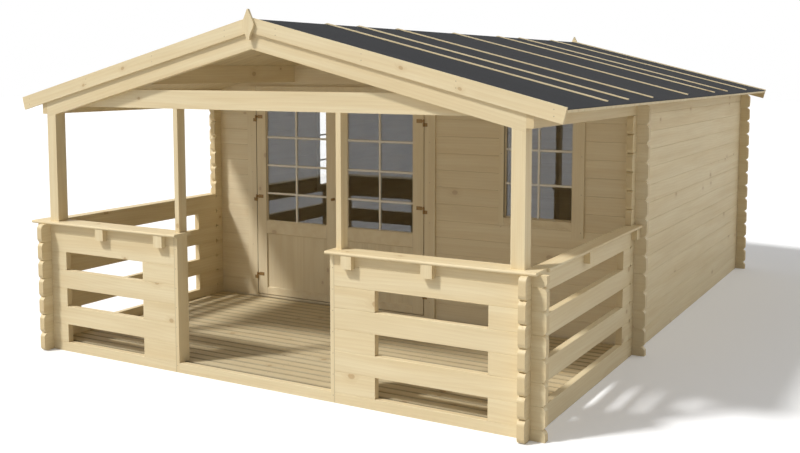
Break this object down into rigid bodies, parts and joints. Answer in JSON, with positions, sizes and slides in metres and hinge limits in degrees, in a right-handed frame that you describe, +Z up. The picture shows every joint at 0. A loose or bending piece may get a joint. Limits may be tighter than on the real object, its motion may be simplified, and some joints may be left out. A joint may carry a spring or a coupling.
{
  "type": "log cabin",
  "caption": "Garden log cabin with notched log corners, a roofed veranda behind gapped log rails, glazed double doors that swing out, a felted gable roof with battens and carved finials.",
  "frame": {"origin": "at ground level, under the middle of the whole part", "axes": "+Y towards the rear wall along the ridge, +X to the right seen from the front, +Z up"},
  "size_m": [4.185, 6.012, 2.4239],
  "materials": {
    "log_pine": "bare planed pine logs with fine grain and a few knots",
    "planed_pine": "bare planed pine, square edged",
    "board_pine": "bare pine boards",
    "roof_felt": "charcoal mineral roofing felt",
    "pane_glass": "clear window glass",
    "hinge_brass": "dull brown brass"
  },
  "bodies": {
    "cabin": {"left_wall": "log_pine", "right_wall": "log_pine", "rear_wall": "log_pine", "front_wall": "log_pine", "left_rail": "log_pine", "right_rail": "log_pine", "front_sill": "log_pine", "front_left_panel": "log_pine", "front_right_panel": "log_pine", "panel_end_boards": "planed_pine", "rail_caps": "planed_pine", "cap_blocks": "planed_pine", "corner_posts": "planed_pine", "entrance_posts": "planed_pine", "front_rafters": "planed_pine", "tie_beam": "planed_pine", "purlins": "planed_pine", "roof_boards_left": "board_pine", "roof_boards_right": "board_pine", "roof_felt": "roof_felt", "roof_battens": "planed_pine", "front_barge_boards": "planed_pine", "rear_barge_boards": "planed_pine", "front_finial": "planed_pine", "rear_finial": "planed_pine", "veranda_deck": "board_pine", "cabin_floor": "board_pine", "floor_bearers": "board_pine", "door_frame": "planed_pine", "frame_hinges": "hinge_brass", "front_window_frame": "planed_pine", "front_window_glass": "pane_glass", "front_window_trim": "planed_pine", "left_window_frame": "planed_pine", "left_window_glass": "pane_glass"},
    "left_door": {"left_door_leaf": "planed_pine", "left_door_panel": "planed_pine", "left_door_glass": "pane_glass", "left_door_hinges": "hinge_brass", "door_knob": "hinge_brass"},
    "right_door": {"right_door_leaf": "planed_pine", "right_door_panel": "planed_pine", "right_door_glass": "pane_glass", "right_door_hinges": "hinge_brass"}
  },
  "joints": [
    {"name": "left_door_hinge", "type": "hinge", "parent": "cabin", "child": "left_door", "pos_m": [-1.4475, -1.0115, 0.09], "axis": [0, 0, -1], "range_deg": [0, 110]},
    {"name": "right_door_hinge", "type": "hinge", "parent": "cabin", "child": "right_door", "pos_m": [0.2055, -1.0115, 0.09], "axis": [0, 0, 1], "range_deg": [0, 170]}
  ]
}
